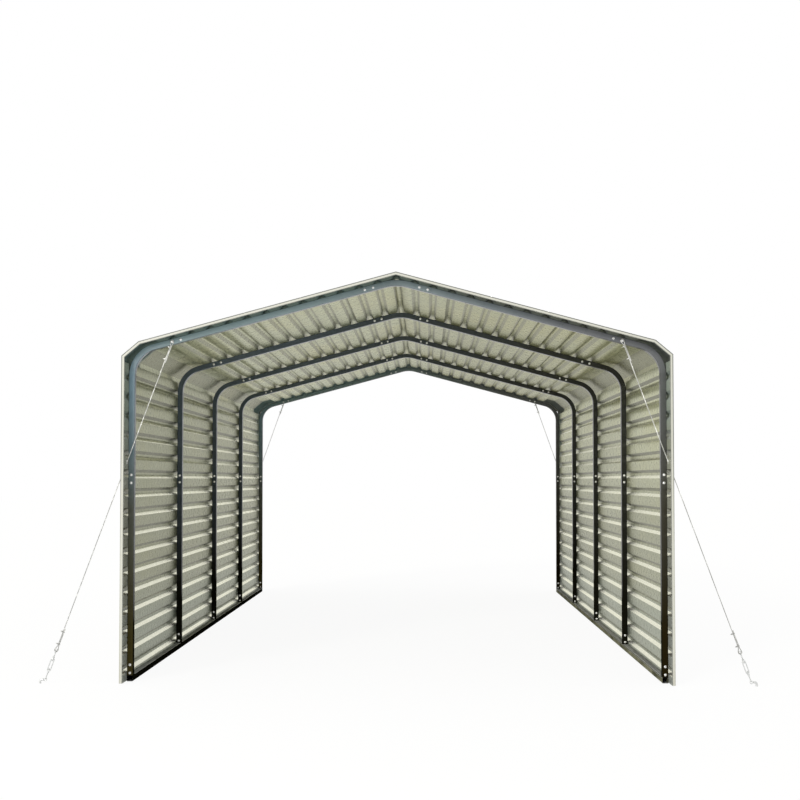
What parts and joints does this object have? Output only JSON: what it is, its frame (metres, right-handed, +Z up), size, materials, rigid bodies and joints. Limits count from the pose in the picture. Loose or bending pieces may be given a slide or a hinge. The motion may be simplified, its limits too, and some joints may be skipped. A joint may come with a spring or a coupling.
{
  "type": "open-gable steel carport",
  "caption": "Single carport of bent square-tube bows on base rails, with ribbed sheet walls and roof, folded eaves, angle trims and guy wires.",
  "frame": {"origin": "middle of the footprint at ground level", "axes": "+Z up, +Y from the front gable to the rear gable, +X to the right seen from the front"},
  "size_m": [4.7322, 6.204, 2.7319],
  "materials": {
    "frame_tube": "glossy powder coat, near black",
    "wall_sheet": "galvanised, dull, faint spangle",
    "roof_sheet": "galvanised, dull, faint spangle",
    "flashing": "galvanised, smooth",
    "trim": "cream white paint, satin",
    "wire": "zinc-coated strand",
    "fittings": "hot-dip galvanised"
  },
  "bodies": {
    "root": {"bow_1_eave_bends": "frame_tube", "bow_1_legs": "frame_tube", "bow_1_rafters": "frame_tube", "bow_2_eave_bends": "frame_tube", "bow_2_legs": "frame_tube", "bow_2_rafters": "frame_tube", "bow_3_eave_bends": "frame_tube", "bow_3_legs": "frame_tube", "bow_3_rafters": "frame_tube", "bow_4_eave_bends": "frame_tube", "bow_4_legs": "frame_tube", "bow_4_rafters": "frame_tube", "bow_5_eave_bends": "frame_tube", "bow_5_legs": "frame_tube", "bow_5_rafters": "frame_tube", "front_eave_trims": "trim", "front_guy_wires": "wire", "front_ridge_trim": "trim", "front_wall_trims": "trim", "ground_stakes": "fittings", "left_base_rail": "frame_tube", "left_eave_flashing": "flashing", "left_lower_roof_sheet": "roof_sheet", "left_lower_wall_sheet": "wall_sheet", "left_middle_roof_sheet": "roof_sheet", "left_middle_wall_sheet": "wall_sheet", "left_upper_wall_sheet": "wall_sheet", "rear_eave_trims": "trim", "rear_guy_wires": "wire", "rear_ridge_trim": "trim", "rear_wall_trims": "trim", "ridge_bends": "frame_tube", "ridge_sheet": "roof_sheet", "right_base_rail": "frame_tube", "right_eave_flashing": "flashing", "right_lower_roof_sheet": "roof_sheet", "right_lower_wall_sheet": "wall_sheet", "right_middle_roof_sheet": "roof_sheet", "right_middle_wall_sheet": "wall_sheet", "right_upper_wall_sheet": "wall_sheet", "turnbuckles": "fittings"}
  },
  "joints": []
}
